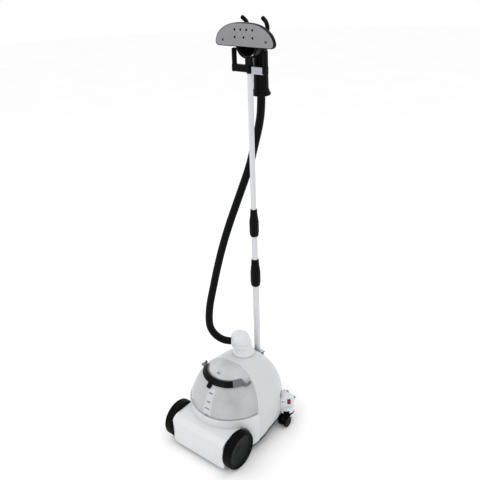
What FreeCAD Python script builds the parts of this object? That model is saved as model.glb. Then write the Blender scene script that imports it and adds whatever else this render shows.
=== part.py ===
import FreeCAD, Part
import math
import os

# Upright garment steamer: wheeled base with boiler and lift-out tank, telescopic pole, steam head on a
# cradle, and a steam hose. Millimetres, +Z up, the front faces -Y.
# Origin: middle of the footprint, on the floor.

V = FreeCAD.Vector
X_AXIS = V(1, 0, 0)
Y_AXIS = V(0, 1, 0)
Z_AXIS = V(0, 0, 1)

# ---- driving dimensions ----
WHEEL_R = 68.0          # front wheel radius
WHEEL_W = 36.0
WHEEL_OUT_X = 153.0     # outer face of each front wheel
AXLE_Y = -161.0
AXLE_R = 6.0
AXLE_END = 137.0        # half length of the axle
RUN = 0.05              # radial running clearance

BELL_Y = -21.0          # centre of the front arc of the bell-shaped housing, and of the tank
REAR_Y = 42.0           # centre of its rear arc
TANK_Z = 157.0          # bottom of the tank
BAND_Z = 267.0          # joint between the tank's lower shell and its dome
BAY_SLOPE = 0.32        # lean of the bay wall behind the tank
BAY_Y = -55.0           # where that wall meets the tank's bottom
RING_R = 153.5          # skirt ring that the tank stands in
WALL = 3.0

POLE_Y = 142.0
LOWER_R = 12.0          # tube radii
MIDDLE_R = 10.4
UPPER_R = 8.9
TUBE_WALL = 1.4

DECK_X = 116.0          # half width of the front deck between the wheels
OUTLET_Y = 58.0
OUTLET_TURN = 35.0      # degrees from -X towards -Y that the outlet faces
OUTLET_Z = 340.0
HOSE_R = 13.5

POD_X = 145.0
POD_Y = 122.0
POD_R = 31.0
POD_Z = 51.0
POD_TOP = 124.0
POD_ROUND = 14.0
CASTER_X = 158.0
CASTER_Y = 104.0        # swivel axis
CASTER_TRAIL = 11.0
CASTER_R = 19.5

PLATE_Y = 115.0         # front face of the steam plate
CRADLE_Z = 1369.0
CRADLE_R = 41.0
HANDLE_Y = 198.0
GRIP_R = 23.0
COLLAR_Z = 1207.0       # bottom of the handle's collar, where the hose starts

# side profile of the housing: (height, radius of the front arc, radius of the rear arc)
BELL_PROFILE = [
    (14.0, 153.0, 149.0),
    (60.0, 153.0, 149.0),
    (100.0, 152.8, 148.8),
    (132.0, 151.8, 147.8),
    (TANK_Z, 149.8, 145.8),
    (186.0, 141.5, 137.0),
    (210.0, 131.0, 125.5),
    (232.0, 118.0, 110.0),
    (252.0, 102.0, 92.0),
    (270.0, 82.0, 72.0),
    (284.0, 58.0, 50.0),
    (292.0, 34.0, 30.0),
]
# bottom edge of the housing, seen from the side: (y, z)
EDGE_LINE = [(-240.0, 24.0), (-93.0, 24.0), (-83.0, 28.0), (2.0, 50.0), (240.0, 53.0)]
PAN_DEPTH = 8.0
SCREW_PLACES = [(-90, -180), (90, -180), (-120, -40), (120, -40), (-60, 165), (60, 165)]

# front deck, seen from the side: its nose is bowed forward in plan by an arc of DECK_BOW_R
DECK_FRONT = -229.0
DECK_TOP = 124.0
DECK_BOW_R = 678.0

# tank
SEAT_Y = -100.0         # the tank's valve and the dock's cup
LATCH_TURN = -7.0       # degrees from the front round to the left
BAND_TALL = 15.0
BAND_OUT = 3.6
BAND_END_Y = -52.0
PIVOT_Y = -40.0         # pivots in the ears at the ends of the band handle
PIVOT_Z = 261.0
PIN_R = 3.0
EAR_R = 7.0
EAR_X = 98.8
EAR_THICK = 3.5

# control face on the right pod, and the pedal in its step
FACET_TURN = 40.0       # degrees that the control face looks round from the front to the right
FACET_DEPTH = 22.0
CONTROL_Z = 103.0
ROCKER_X = 8.0          # across the control face
ROCKER_PIVOT = -9.0     # depth behind the control face
LENS_X = -15.5
STEP_Z = 84.0           # floor of the step under the pedal
PEDAL_X = 132.0
PEDAL_Y0 = 133.0
PEDAL_Y1 = 149.0
PEDAL_Z = 109.0
PEDAL_TILT = 14.0

# pole
TUBE_FOOT = 58.2        # bottom of the lower tube, in its boss on the chassis
MIDDLE_FOOT = 330.0
UPPER_FOOT = 570.0
LOWER_TOP = 600.0
MIDDLE_TOP = 792.0
UPPER_TOP = 1297.0
SOCKET_TOP = 242.0
LEVER_Z = 236.0
LOCK_LOW = (535.0, 642.0)
LOCK_HIGH = (732.0, 833.0)
LOCK_GROOVES = 10

# cradle, and the two horns on it
CRADLE_Y0 = 128.0
HORN_R = 6.5
HORN_ROUTE = [(39.0, 142.0, 1366.0), (39.5, 153.0, 1376.0), (39.5, 169.0, 1384.0), (38.5, 181.0, 1397.0),
              (37.0, 186.0, 1414.0), (37.0, 179.0, 1430.0), (38.0, 162.5, 1441.5)]

# steam plate: half of its arched outline, from the lower corner to the top, as (x, z)
PLATE_OUTLINE = [(106.0, 1380.0), (99.0, 1396.0), (84.0, 1411.0), (54.0, 1426.0), (0.0, 1431.0)]
PLATE_BOTTOM = 1366.0
STEAM_HOLES = [(-33, 1413), (-11, 1413.5), (11, 1413.5), (33, 1413), (-33, 1391), (0, 1391.5), (33, 1391)]
PLATE_SCREWS = [(-80, 1382), (80, 1382)]

# the steam hose, as the points that its middle line is drawn towards
UPPER_ROUTE = [(0.0, 198.0, 1214.5), (-1.5, 198.5, 1160.0), (-11.0, 197.5, 1106.0), (-23.2, 193.0, 1054.0),
               (-30.5, 181.5, 1006.0)]
LOWER_ROUTE = [(-30.5, 181.5, 1006.0), (-35.975, 172.875, 970.0), (-48.0, 150.0, 908.0),
               (-61.0, 124.0, 842.0),
               (-74.4, 97.0, 772.0), (-85.4, 71.0, 700.0), (-93.3, 46.0, 625.0), (-98.0, 22.0, 550.0),
               (-100.3, 1.0, 490.0), (-100.4, -8.2, 440.0), (-97.0, -10.7, 404.1), (-87.0, -3.2, 374.9),
               (-70.0, 9.0, 352.4), (-48.5, 24.04, 340.0), (-25.6, 40.07, 340.0)]

PARTS = {}
BELLS = {}


def cyl(r, h, x, y, z, axis=Z_AXIS):
    return Part.makeCylinder(r, h, V(x, y, z), axis)


def tube(r_out, r_in, h, x, y, z, axis=Z_AXIS):
    return cyl(r_out, h, x, y, z, axis).cut(cyl(r_in, h, x, y, z, axis))


def box(x0, x1, y0, y1, z0, z1):
    return Part.makeBox(x1 - x0, y1 - y0, z1 - z0, V(x0, y0, z0))


def revolve(points, x, y):
    """Turn a closed (radius, height) outline about the vertical line through x, y."""
    corners = [V(x + r, y, z) for r, z in points]
    face = Part.Face(Part.makePolygon(corners + corners[:1]))
    return face.revolve(V(x, y, 0), Z_AXIS, 360)


def side_prism(points, half_width):
    """Extrude a closed (y, z) outline to both sides of the middle plane."""
    corners = [V(-half_width, y, z) for y, z in points]
    return Part.Face(Part.makePolygon(corners + corners[:1])).extrude(V(2 * half_width, 0, 0))


def two_arc_wire(z, front_r, rear_r, front_y=BELL_Y, rear_y=REAR_Y):
    """A front arc and a rear arc joined by their common tangents, at height z."""
    tilt = math.asin((front_r - rear_r) / (rear_y - front_y))
    sx = math.cos(tilt)
    sy = math.sin(tilt)
    front = [V(s * front_r * sx, front_y + front_r * sy, z) for s in (1, -1)]
    rear = [V(s * rear_r * sx, rear_y + rear_r * sy, z) for s in (1, -1)]
    edges = [
        Part.Arc(front[1], V(0, front_y - front_r, z), front[0]).toShape(),
        Part.makeLine(front[0], rear[0]),
        Part.Arc(rear[0], V(0, rear_y + rear_r, z), rear[1]).toShape(),
        Part.makeLine(rear[1], front[1]),
    ]
    return Part.Wire(edges)


def two_arc_prism(z0, z1, front_r, rear_r):
    return Part.Face(two_arc_wire(z0, front_r, rear_r)).extrude(V(0, 0, z1 - z0))


def bell(inset):
    """The housing's bell as a solid, its surface moved inwards by inset."""
    if inset not in BELLS:
        BELLS[inset] = loft_bell(inset)
    return BELLS[inset]


def loft_bell(inset):
    wires = [two_arc_wire(z - 0.6 * inset, front - inset, rear - inset) for z, front, rear in BELL_PROFILE]
    return Part.makeLoft(wires, True, False)


def above(z):
    return box(-300, 300, -300, 300, z, 500)


def behind_bay(offset):
    """Everything behind the leaning bay wall, from below the tank up."""
    low_y = BAY_Y + offset - 200.0 * BAY_SLOPE
    high_y = BAY_Y + offset + 200.0 * BAY_SLOPE
    low_z = TANK_Z - 200.0
    high_z = TANK_Z + 200.0
    return side_prism([(low_y, low_z), (high_y, high_z), (400, high_z), (400, low_z)], 300)


def above_edge(drop):
    """Everything above the housing's bottom edge line, lowered by drop."""
    outline = [(y, z - drop) for y, z in EDGE_LINE]
    return side_prism(outline + [(240.0, 400.0), (-240.0, 400.0)], 300)


def deck_profile(inset):
    """Side outline of the front deck: a rounded box whose top runs back under the tank."""
    front = DECK_FRONT + inset
    top = DECK_TOP - inset
    nose = [V(0, front + 7.0, 14.0), V(0, front, 52.0), V(0, front + 5.0, 92.0)]
    shoulder = [nose[2], V(0, front + 13.0, top - 11.0), V(0, front + 33.0, top)]
    back = [V(0, -40.0, top - 4.0), V(0, -40.0, 14.0)]
    edges = [
        Part.Arc(*nose).toShape(),
        Part.Arc(*shoulder).toShape(),
        Part.makeLine(shoulder[2], back[0]),
        Part.makeLine(back[0], back[1]),
        Part.makeLine(back[1], nose[0]),
    ]
    return Part.Face(Part.Wire(edges))


def deck_solid(inset, half_width):
    face = deck_profile(inset)
    face.translate(V(-half_width, 0, 0))
    bow_r = DECK_BOW_R - inset
    bow = cyl(bow_r, 200, 0, DECK_FRONT + DECK_BOW_R, 0)
    return face.extrude(V(2 * half_width, 0, 0)).common(bow)


def wheel_arches(radius, inner_x):
    arches = [cyl(radius, 100, s * inner_x, AXLE_Y, WHEEL_R, V(s, 0, 0)) for s in (1, -1)]
    return arches[0].fuse(arches[1])


def smooth_tube(points, radius):
    """A round tube along straight runs joined by arcs. Returns the solid, its length and its arc radii."""
    pts = [V(*p) for p in points]
    edges = []
    radii = []
    start = pts[0]
    for before, here, after in zip(pts, pts[1:], pts[2:]):
        a = before.sub(here)
        b = after.sub(here)
        short = min(a.Length, b.Length)
        a.normalize()
        b.normalize()
        turn = math.pi - a.getAngle(b)
        cut_back = 0.45 * short
        arc_r = cut_back / math.tan(turn / 2)
        first = here.add(a * cut_back)
        last = here.add(b * cut_back)
        bisector = a.add(b)
        bisector.normalize()
        middle = here.add(bisector * (arc_r / math.cos(turn / 2) - arc_r))
        edges.append(Part.LineSegment(start, first).toShape())
        edges.append(Part.Arc(first, middle, last).toShape())
        radii.append(arc_r)
        start = last
    edges.append(Part.LineSegment(start, pts[-1]).toShape())
    path = Part.Wire(edges)
    direction = pts[1].sub(pts[0])
    profile = Part.Wire(Part.makeCircle(radius, pts[0], direction))
    solid = path.makePipeShell([profile], True, False)
    return solid, path.Length, radii


def fuse_all(shapes):
    out = shapes[0]
    for shape in shapes[1:]:
        out = out.fuse(shape)
    return out.removeSplitter()


def cut_all(shape, tools):
    for tool in tools:
        shape = shape.cut(tool)
    return shape


def turned(shape, degrees, x=0.0, y=0.0, z=0.0, axis=Z_AXIS):
    copy = shape.copy()
    copy.rotate(V(x, y, z), axis, degrees)
    return copy


def mirrored(shape):
    return shape.mirror(V(0, 0, 0), X_AXIS)


# ---- housing ----

def housing_volumes():
    ring = cyl(RING_R, TANK_Z - 1 - 14, 0, BELL_Y, 14).common(box(-200, 200, -300, BAY_Y, 0, 200))
    ring_inner = cyl(RING_R - WALL, TANK_Z - 5, 0, BELL_Y, 10).common(box(-200, 200, -300, BAY_Y + 1, 0, 200))
    outer = bell(0.0).fuse(ring).fuse(deck_solid(0.0, DECK_X))
    inner = bell(WALL).fuse(ring_inner).fuse(deck_solid(WALL, DECK_X - WALL))
    outer = outer.cut(wheel_arches(WHEEL_R + 6, DECK_X))
    inner = inner.cut(wheel_arches(WHEEL_R + 6 + WALL, DECK_X - WALL))
    return outer, inner


def pod(side, inset=0.0):
    """Rounded pod on the rear corner, over the caster."""
    body = cyl(POD_R - inset, POD_TOP - POD_Z - inset, side * POD_X, POD_Y, POD_Z)
    rim = [e for e in body.Edges if e.BoundBox.ZMin > POD_TOP - 5 - inset and e.Length > 100]
    return body.makeFillet(POD_ROUND - inset, rim)


def make_housing():
    outer, inner = housing_volumes()
    rear = behind_bay(0.0).common(outer).common(above_edge(0.0))
    rear = rear.cut(box(-300, 300, -300, BAY_Y, 0, TANK_Z))
    shell = rear.cut(inner)
    openings = [
        cyl(26, 60, 0, OUTLET_Y, 250),
        cyl(25.2, 100, 0, POLE_Y, 190),
        cyl(27.2, 100, 0, POLE_Y, 211.9),
        cyl(POD_R + 0.2, 100, POD_X, POD_Y, 40),
        cyl(POD_R + 0.2, 100, -POD_X, POD_Y, 40),
        cyl(7.5, 40, 0, 175, 78, Y_AXIS),
    ]
    shell = cut_all(shell, openings)
    PARTS["left_shell"] = shell.common(box(-300, 0, -300, 300, 0, 400))
    PARTS["right_shell"] = shell.common(box(0, 300, -300, 300, 0, 400))

    front = outer.common(box(-300, 300, -300, BAY_Y, 0, TANK_Z - 1))
    front = front.common(above_edge(0.0).fuse(box(-DECK_X, DECK_X, -300, -90, 14, 100)))
    front = front.cut(inner)
    front = front.cut(cyl(AXLE_R + 0.3, 400, -200, AXLE_Y, WHEEL_R, X_AXIS))
    PARTS["front_deck"] = front

    clear = bell(WALL + 0.3)
    floor = cyl(149.5, 5, 0, BELL_Y, TANK_Z - 6).common(box(-300, 300, -300, BAY_Y - 0.2, 0, 400))
    seat = (0, -100)
    floor = floor.fuse(cyl(34, 16, seat[0], seat[1], TANK_Z - 18))
    floor = floor.cut(cyl(31, 14, seat[0], seat[1], TANK_Z - 15))
    floor = floor.fuse(cyl(2.0, 5.0, seat[0], seat[1], TANK_Z - 16))
    floor = floor.cut(cyl(3.0, 20, seat[0], seat[1] + 22, TANK_Z - 20))
    wall = behind_bay(0.3).cut(behind_bay(2.6)).common(clear)
    wall = wall.common(box(-300, 300, -300, 300, TANK_Z - 6, 400))
    PARTS["tank_dock"] = floor.fuse(wall.cut(cyl(27, 60, 0, OUTLET_Y, 250)))
    PARTS["dock_seal"] = tube(12, 7, 2.2, seat[0], seat[1], TANK_Z - 15)


def make_chassis():
    plan = two_arc_prism(0, 80, 152.0, 148.0)
    plan = plan.cut(box(-300, 300, -300, -93, -10, 90))
    plan = plan.fuse(box(-DECK_X + 3.5, DECK_X - 3.5, -214, -85, 0, 80))
    plan = plan.cut(wheel_arches(WHEEL_R + 6, DECK_X - 3.5))
    for side in (1, -1):
        plan = plan.fuse(cyl(POD_R, 80, side * POD_X, POD_Y, 0))
        plan = plan.fuse(cyl(18, 80, side * CASTER_X, CASTER_Y, 0))
    lower = [(y, z - PAN_DEPTH) for y, z in EDGE_LINE]
    upper = [(y, z - 0.1) for y, z in reversed(EDGE_LINE)]
    pan = side_prism(lower + upper, 300).common(plan)
    for side in (1, -1):
        pan = pan.fuse(cyl(13, 20, side * CASTER_X, CASTER_Y, 43).common(plan))
        pan = pan.cut(cyl(5 + RUN, 30, side * CASTER_X, CASTER_Y, 40))
        pan = pan.cut(pod(side))
    pan = pan.fuse(cyl(17, 34, 0, POLE_Y, 42))
    pan = pan.fuse(tube(54, 50, 16, 0, OUTLET_Y, 46))
    pan = pan.cut(cyl(LOWER_R + 0.1, 40, 0, POLE_Y, 58))
    for x, y in SCREW_PLACES:
        pan = pan.cut(cyl(2.0, 60, x, y, 10))
        pan = pan.cut(cyl(3.8, 6, x, y, pan_bottom(y) - 6))
    PARTS["chassis"] = pan
    screws = []
    for x, y in SCREW_PLACES:
        screws.append(cyl(1.9, 10, x, y, pan_bottom(y)).fuse(cyl(3.6, 1.6, x, y, pan_bottom(y) - 1.6)))
    PARTS["chassis_screws"] = Part.makeCompound(screws)


def pan_bottom(y):
    for (y0, z0), (y1, z1) in zip(EDGE_LINE, EDGE_LINE[1:]):
        if y0 <= y <= y1:
            return z0 + (z1 - z0) * (y - y0) / (y1 - y0) - PAN_DEPTH
    return EDGE_LINE[-1][1] - PAN_DEPTH


# ---- wheels and casters ----

def make_wheels():
    inner_x = WHEEL_OUT_X - WHEEL_W
    tyre = tube(WHEEL_R, 57, WHEEL_W, inner_x, 0, 0, X_AXIS)
    rims = [e for e in tyre.Edges if e.Length > 400]
    tyre = tyre.makeFillet(4.5, rims)
    hub = cyl(57, 27, inner_x + 3, 0, 0, X_AXIS)
    dish = Part.makeSphere(220, V(inner_x + 24 + 220, 0, 0)).common(cyl(50, 60, inner_x, 0, 0, X_AXIS))
    hub = hub.cut(dish)
    hub = hub.cut(tube(48, 16, 15, inner_x + 3, 0, 0, X_AXIS))
    hub = hub.cut(cyl(AXLE_R + RUN, 20.5, inner_x, 0, 0, X_AXIS))
    for side, name in ((1, "right"), (-1, "left")):
        for shape, part in ((tyre, "tyre"), (hub, "hub")):
            piece = shape.copy() if side == 1 else mirrored(shape)
            piece.translate(V(0, AXLE_Y, WHEEL_R))
            PARTS[name + "_" + part] = piece
    PARTS["front_axle"] = cyl(AXLE_R, 2 * AXLE_END, -AXLE_END, AXLE_Y, WHEEL_R, X_AXIS)
    clips = [tube(9.5, AXLE_R, 1.6, s * 109.0 - 0.8, AXLE_Y, WHEEL_R, X_AXIS) for s in (1, -1)]
    PARTS["axle_clips"] = Part.makeCompound(clips)


def make_caster(side, name):
    x = side * CASTER_X
    wheel_y = CASTER_Y - CASTER_TRAIL
    stem = cyl(5, 24, x, CASTER_Y, 34)
    web = box(x - 3.5, x + 3.5, wheel_y - 10, CASTER_Y + 7, 12, 38)
    hood = tube(CASTER_R + 2.7, CASTER_R + 0.9, 36, x - 18, wheel_y, CASTER_R, X_AXIS)
    hood = hood.common(box(x - 18, x + 18, wheel_y - 30, wheel_y + 30, CASTER_R + 6, 60))
    web = web.fuse(cyl(CASTER_R + 1.5, 7, x - 3.5, wheel_y, CASTER_R, X_AXIS).common(above(CASTER_R)))
    fork = fuse_all([web, hood, cyl(8, 7, x, CASTER_Y, 34.5), stem])
    fork = fork.cut(cyl(3 + RUN, 60, x - 30, wheel_y, CASTER_R, X_AXIS))
    for start in (x + 3.8, x - 18):
        fork = fork.cut(cyl(CASTER_R + 0.6, 14.2, start, wheel_y, CASTER_R, X_AXIS))
    PARTS[name + "_caster_fork"] = fork
    rolls = []
    for start in (x + 4.2, x - 17.6):
        roll = cyl(CASTER_R, 13.4, start, wheel_y, CASTER_R, X_AXIS)
        rolls.append(roll.makeFillet(3.0, [e for e in roll.Edges if e.Length > 100]))
    rolls.append(cyl(3, 34, x - 17, wheel_y, CASTER_R, X_AXIS))
    PARTS[name + "_caster_wheels"] = fuse_all(rolls)


# ---- pods, switch and pedal ----

def make_pods():
    PARTS["left_pod"] = pod(-1).cut(pod(-1, 2.5))
    facet = facing(box(-40, 40, -27, 20, 0, 40))
    thick_facet = facing(box(-40, 40, -29.5, 22.5, -2.5, 40))
    step = box(POD_X - 20, POD_X + 50, PEDAL_Y0 - 1, POD_Y + 50, STEP_Z, 140)
    thick_step = box(POD_X - 22.5, POD_X + 50, PEDAL_Y0 - 3.5, POD_Y + 50, STEP_Z - 2.5, 140)
    cavity = pod(1, 2.5).cut(thick_facet).cut(thick_step)
    right = pod(1).cut(facet).cut(step).cut(cavity)
    ear = box(PEDAL_X - 5, PEDAL_X + 5, PEDAL_Y1 + 0.6, PEDAL_Y1 + 3.6, STEP_Z - 1, PEDAL_Z + 4)
    right = right.fuse(ear.common(cyl(POD_R, 200, POD_X, POD_Y, 0).fuse(ear)))
    right = right.cut(facing(box(ROCKER_X - 4.4, ROCKER_X + 4.4, -8.8, 8.8, -6, 6)))
    right = right.cut(facing(cyl(2.6, 14, LENS_X, 0, -8)))
    right = right.cut(cyl(2.0 + RUN, 30, PEDAL_X, PEDAL_Y0 - 4, PEDAL_Z, Y_AXIS))
    PARTS["right_pod"] = right
    frame = box(ROCKER_X - 6.0, ROCKER_X + 6.0, -10.8, 10.8, 0, 1.4)
    frame = frame.fuse(box(ROCKER_X - 4.3, ROCKER_X + 4.3, -8.7, 8.7, -14, 0.5))
    PARTS["switch_frame"] = facing(frame.cut(box(ROCKER_X - 3.8, ROCKER_X + 3.8, -7.9, 7.9, -11.5, 3)))
    rocker = cyl(11, 6.8, ROCKER_X - 3.4, 0, ROCKER_PIVOT, X_AXIS)
    PARTS["power_rocker"] = facing(rocker.common(box(-40, 40, -6.6, 6.6, ROCKER_PIVOT, 9)))
    PARTS["indicator_lens"] = facing(cyl(2.5, 4, LENS_X, 0, -2.5))
    pedal = box(PEDAL_X - 3, PEDAL_X + 40, PEDAL_Y0, PEDAL_Y1, PEDAL_Z - 2.5, PEDAL_Z + 2)
    pedal_w = PEDAL_Y1 - PEDAL_Y0
    pedal = pedal.makeFillet(1.6, pedal.Edges).fuse(cyl(4, pedal_w, PEDAL_X, PEDAL_Y0, PEDAL_Z, Y_AXIS))
    pin = cyl(2.0, pedal_w + 6, PEDAL_X, PEDAL_Y0 - 3, PEDAL_Z, Y_AXIS)
    PARTS["foot_pedal"] = turned(pedal, PEDAL_TILT, PEDAL_X, 0, PEDAL_Z, Y_AXIS).fuse(pin).removeSplitter()
    spring_x = PEDAL_X + 20
    spring_top = PEDAL_Z - 20 * math.tan(math.radians(PEDAL_TILT)) - 4.2
    spring_y = PEDAL_Y0 + pedal_w / 2
    PARTS["pedal_spring"] = tube(3.2, 2.0, spring_top - STEP_Z - 0.1, spring_x, spring_y, STEP_Z + 0.1)


def facing(shape):
    """Place a shape modelled on the XY plane, +Z outwards, on the pod's flat control face."""
    out = turned(shape, 90, 0, 0, 0, X_AXIS)
    out.translate(V(0, -FACET_DEPTH, 0))
    out = turned(out, FACET_TURN)
    out.translate(V(POD_X, POD_Y, CONTROL_Z))
    return out


# ---- tank ----

def make_tank():
    whole = bell(0.0).common(above(TANK_Z)).cut(behind_bay(-0.5))
    room = bell(2.5).common(above(TANK_Z + 2.5)).cut(behind_bay(-3.0))
    skin = whole.cut(room)
    lower = skin.cut(above(BAND_Z))
    lower = lower.fuse(tube(21, 17.5, 12, 0, SEAT_Y, TANK_Z))
    lower = lower.cut(cyl(17.5, 20, 0, SEAT_Y, TANK_Z - 5))
    PARTS["tank_shell"] = lower
    PARTS["tank_dome"] = skin.common(above(BAND_Z))
    cap = cyl(17.3, 14, 0, SEAT_Y, TANK_Z - 5).cut(cyl(14, 20, 0, SEAT_Y, TANK_Z - 2))
    cap = cap.fuse(cyl(6.5, 9, 0, SEAT_Y, TANK_Z - 12.5))
    cap = cap.fuse(tube(5.5, 3, 14, 0, SEAT_Y, TANK_Z - 4))
    cap = cap.cut(cyl(4.2, 6, 0, SEAT_Y, TANK_Z - 14)).cut(cyl(2.6, 30, 0, SEAT_Y, TANK_Z - 10))
    PARTS["tank_cap"] = cap.removeSplitter()
    stem = cyl(2.5, 30, 0, SEAT_Y, TANK_Z - 10)
    stem = stem.fuse(cyl(4.8, 2, 0, SEAT_Y, TANK_Z + 20))
    PARTS["valve_stem"] = stem.cut(cyl(6, 2.8, 0, SEAT_Y, TANK_Z - 13))
    PARTS["valve_spring"] = tube(4.4, 2.8, 9.6, 0, SEAT_Y, TANK_Z + 10.2)
    latch = bell(-4.0).cut(bell(-0.05)).common(box(-9, 9, -400, BELL_Y, BAND_Z - 20, BAND_Z - 9))
    PARTS["tank_latch"] = turned(latch, LATCH_TURN, 0, BELL_Y, 0)


def band_lug():
    """Flat ear at the band's right end, clear of the tank's side as it swings, with the arm that holds it."""
    low = BAND_Z - BAND_TALL / 2
    outer_x = EAR_X + EAR_THICK
    ear = cyl(EAR_R, EAR_THICK, EAR_X, PIVOT_Y, PIVOT_Z, X_AXIS)
    ear = ear.fuse(box(EAR_X, outer_x, BAND_END_Y - 3, PIVOT_Y, PIVOT_Z - 4, PIVOT_Z + 4))
    arm = box(EAR_X - 15, outer_x, BAND_END_Y - 10, BAND_END_Y - 1, low, low + 7)
    lug = ear.fuse(arm.cut(bell(-0.5)))
    return lug.cut(cyl(PIN_R + RUN, 30, EAR_X - 10, PIVOT_Y, PIVOT_Z, X_AXIS))


def make_tank_handle():
    """A band that lies round the front of the tank on its shoulder and swings up about its two ends."""
    band = bell(-BAND_OUT).cut(bell(-0.5))
    band = band.common(box(-300, 300, -300, BAND_END_Y, BAND_Z - BAND_TALL / 2, BAND_Z + BAND_TALL / 2))
    lug = band_lug()
    PARTS["tank_handle"] = fuse_all([band, lug, mirrored(lug)])
    pin = cyl(PIN_R, EAR_X + EAR_THICK - 90, 90, PIVOT_Y, PIVOT_Z, X_AXIS).cut(bell(2.0))
    PARTS["tank_shell"] = fuse_all([PARTS["tank_shell"], pin, mirrored(pin)])


# ---- outlet, boiler and water path ----

def outlet_vector():
    turn = math.radians(OUTLET_TURN)
    return V(-math.cos(turn), -math.sin(turn), 0)


def outlet_form():
    """The fat elbow: a round column that leans towards its port and closes in a dome."""
    lean = outlet_vector()
    steps = [(292.2, 40.0, 0), (297, 39.0, 0), (301, 36.0, 0), (318, 35.0, 2), (334, 34.5, 5), (350, 33.5, 9),
             (363, 30.0, 11), (372, 24.0, 12), (378, 13.0, 12)]
    wires = []
    for z, r, shift in steps:
        wires.append(Part.Wire(Part.makeCircle(r, V(lean.x * shift, OUTLET_Y + lean.y * shift, z))))
    return Part.makeLoft(wires, True, False)


def make_outlet():
    lean = outlet_vector()
    form = outlet_form()
    port_at = V(0, OUTLET_Y, OUTLET_Z)
    form = form.fuse(Part.makeCylinder(18.5, 43, port_at, lean))
    form = form.cut(Part.makeCylinder(HOSE_R + 0.1, 12.05, port_at + lean * 31, lean))
    form = form.cut(Part.makeCylinder(9, 40, port_at, lean))
    form = form.cut(cyl(11.2, 53, 0, OUTLET_Y, 290))
    PARTS["outlet_cap"] = form
    gasket = tube(25.5, 12.5, 7.0, 0, OUTLET_Y, 285)
    PARTS["outlet_gasket"] = gasket
    PARTS["steam_pipe"] = tube(11, 8, 285 - 116.5 + 20, 0, OUTLET_Y, 116.5)


def make_boiler():
    y = OUTLET_Y
    body = cyl(48, 40, 0, y, 64.5).cut(cyl(42, 36, 0, y, 70.5))
    body = body.cut(cyl(5, 20, 0, y - 42, 84, V(0, -1, 0)))
    PARTS["boiler"] = body
    lid = cyl(48, 7, 0, y, 104.7).cut(cyl(8, 30, 0, y, 100)).fuse(tube(14, 11.05, 8, 0, y, 111.7))
    PARTS["boiler_lid"] = lid
    ring = Part.makeTorus(34, 4, V(0, y, 58.2), Z_AXIS, -180, 180, 300)
    PARTS["heating_element"] = ring
    PARTS["thermostat"] = cyl(11, 6, 0, y, 58.3)
    PARTS["terminal_block"] = box(-22, 22, 118, 122, 60, 76).fuse(box(-20, 20, 112, 118, 62, 74))
    feed = [(0, SEAT_Y + 22, TANK_Z - 21), (0, SEAT_Y + 22, 112), (0, SEAT_Y + 40, 86), (0, y - 74, 84.4),
            (0, y - 48.2, 84)]
    feed_pipe = smooth_tube(feed, 4.5)[0]
    PARTS["feed_pipe"] = feed_pipe
    gland = tube(10, 3.75, 3.3, 0, 191.6, 78, Y_AXIS).fuse(tube(7.3, 3.75, 12, 0, 180, 78, Y_AXIS))
    PARTS["cord_gland"] = gland


# ---- pole ----

def lock_body(z0, z1, below_r, above_r, step_z):
    """A twist lock: narrow at the top, wide grip below. It turns round the collet that it squeezes."""
    h = z1 - z0
    b = below_r + 1.2
    outline = [(0, z0), (b + 1, z0), (b + 3.6, z0 + 5), (b + 4.4, z0 + 0.25 * h), (b + 3.9, z0 + 0.62 * h),
               (b + 2.2, z0 + 0.80 * h), (b + 0.3, z0 + 0.9 * h), (b, z1 - 2), (b - 0.6, z1), (0, z1)]
    body = revolve(outline, 0, POLE_Y)
    body = body.cut(cyl(below_r + RUN, step_z - z0 + 1, 0, POLE_Y, z0))
    body = body.cut(cyl(below_r + RUN, 24, 0, POLE_Y, step_z))
    body = body.cut(cyl(above_r + 0.3, h + 2, 0, POLE_Y, z0))
    grooves = []
    for k in range(LOCK_GROOVES):
        cutter = cyl(1.1, 0.5 * h, 0, POLE_Y - b - 4.9, z0 + 0.1 * h)
        grooves.append(turned(cutter, 360.0 * k / LOCK_GROOVES, 0, POLE_Y))
    return cut_all(body, grooves)


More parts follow.
